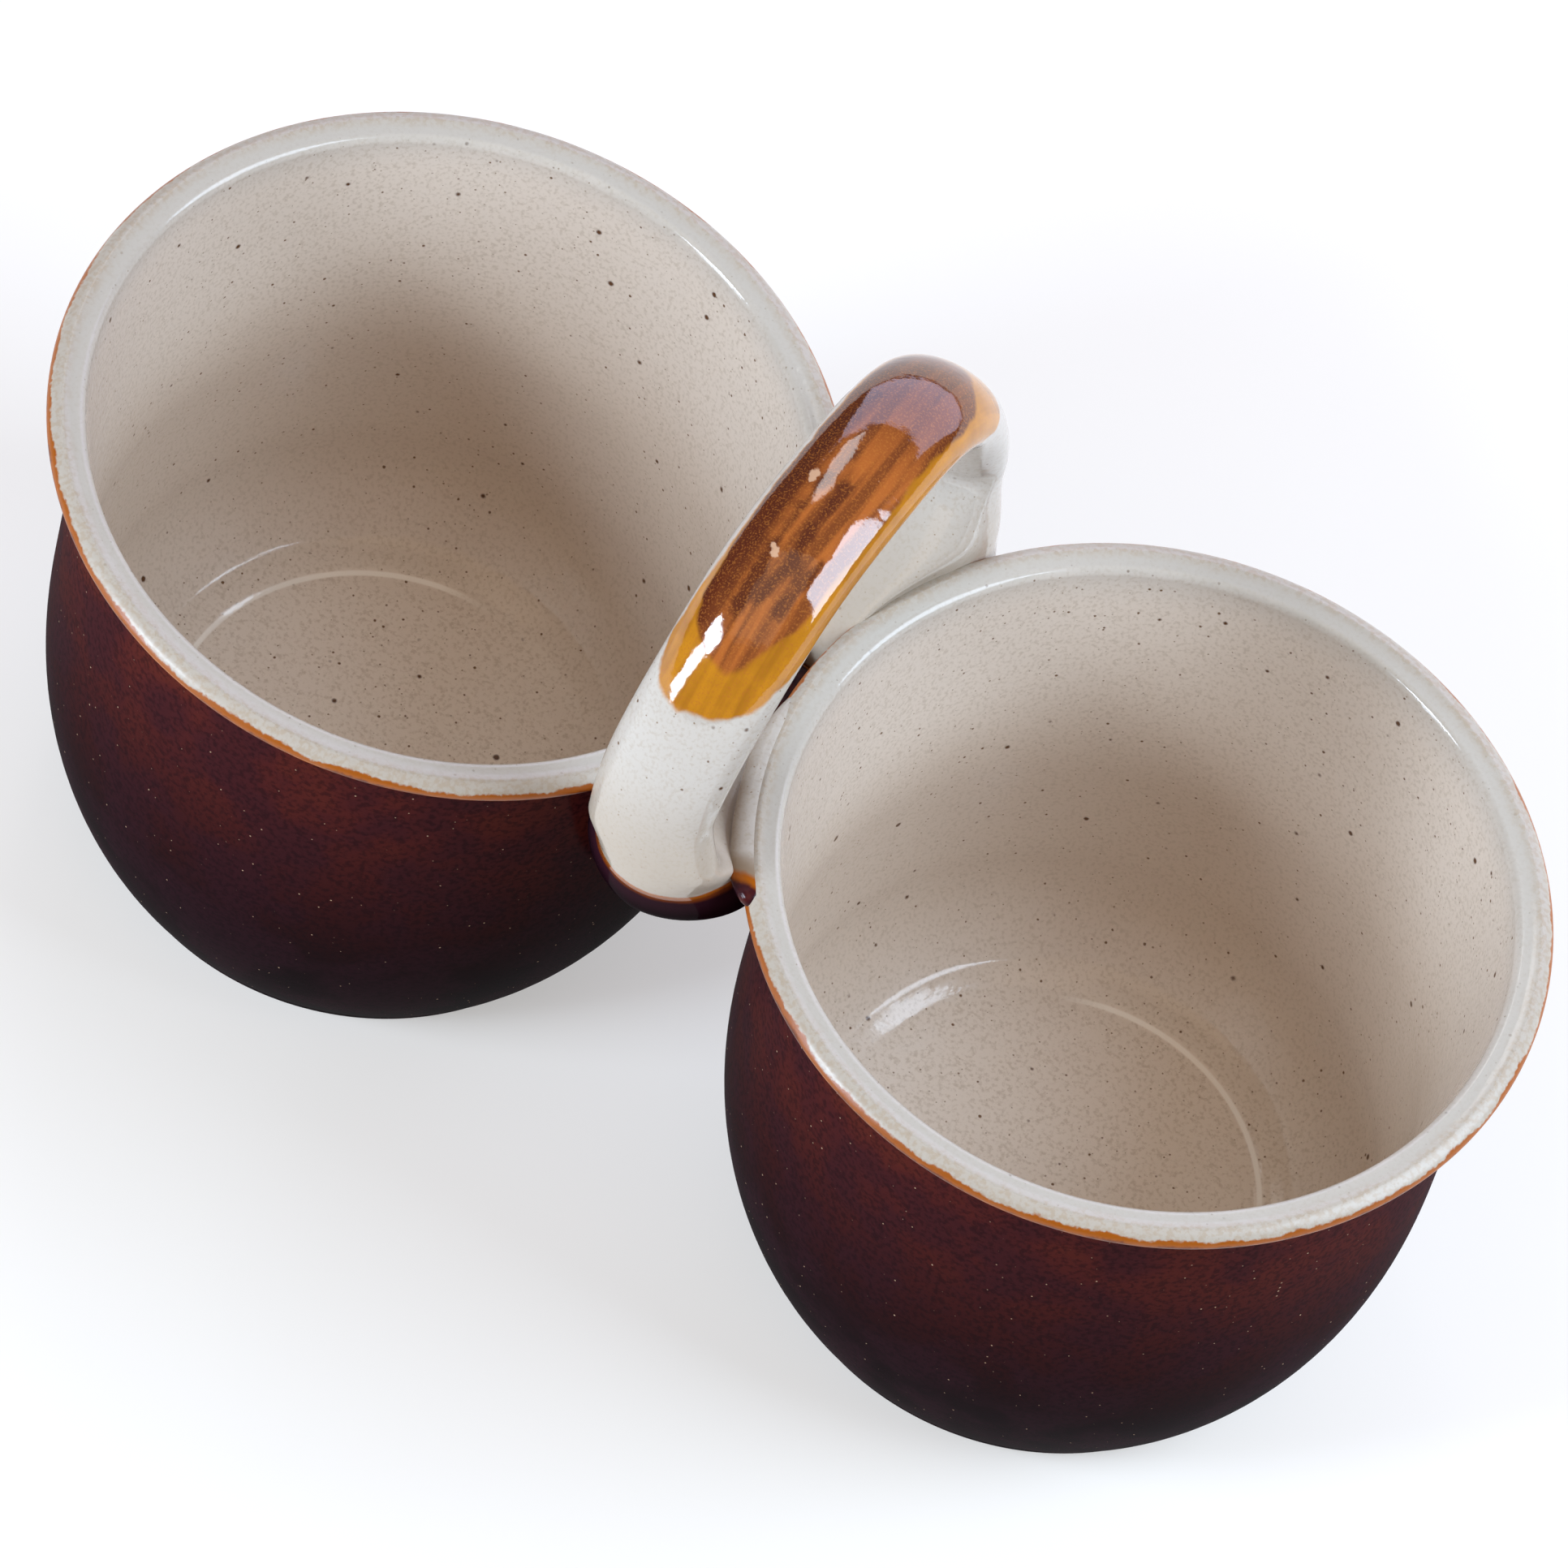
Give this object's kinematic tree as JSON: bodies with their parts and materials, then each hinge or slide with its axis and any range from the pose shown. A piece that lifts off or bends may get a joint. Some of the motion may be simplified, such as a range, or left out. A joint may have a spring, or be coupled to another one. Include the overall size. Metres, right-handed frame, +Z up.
{
  "type": "double serving dish",
  "caption": "Round glazed stoneware serving pots set side by side and joined by an arched bridge handle whose spread feet fill the hollows between them.",
  "frame": {"origin": "on the table, midway between the pots", "axes": "+X from the left pot to the right pot, +Y from the front to the back, +Z up"},
  "size_m": [0.2434, 0.12, 0.1472],
  "materials": {
    "pot_glaze": "glossy dark brown glaze outside, speckled cream glaze inside and on the lip",
    "handle_glaze": "glossy speckled cream glaze with a brushed amber and brown patch along the crown",
    "luting_slip": "satin"
  },
  "bodies": {
    "root": {"left_pot": "pot_glaze", "right_pot": "pot_glaze", "bridge_handle": "handle_glaze", "front_left_luting": "luting_slip", "front_right_luting": "luting_slip", "rear_left_luting": "luting_slip", "rear_right_luting": "luting_slip"}
  },
  "joints": []
}
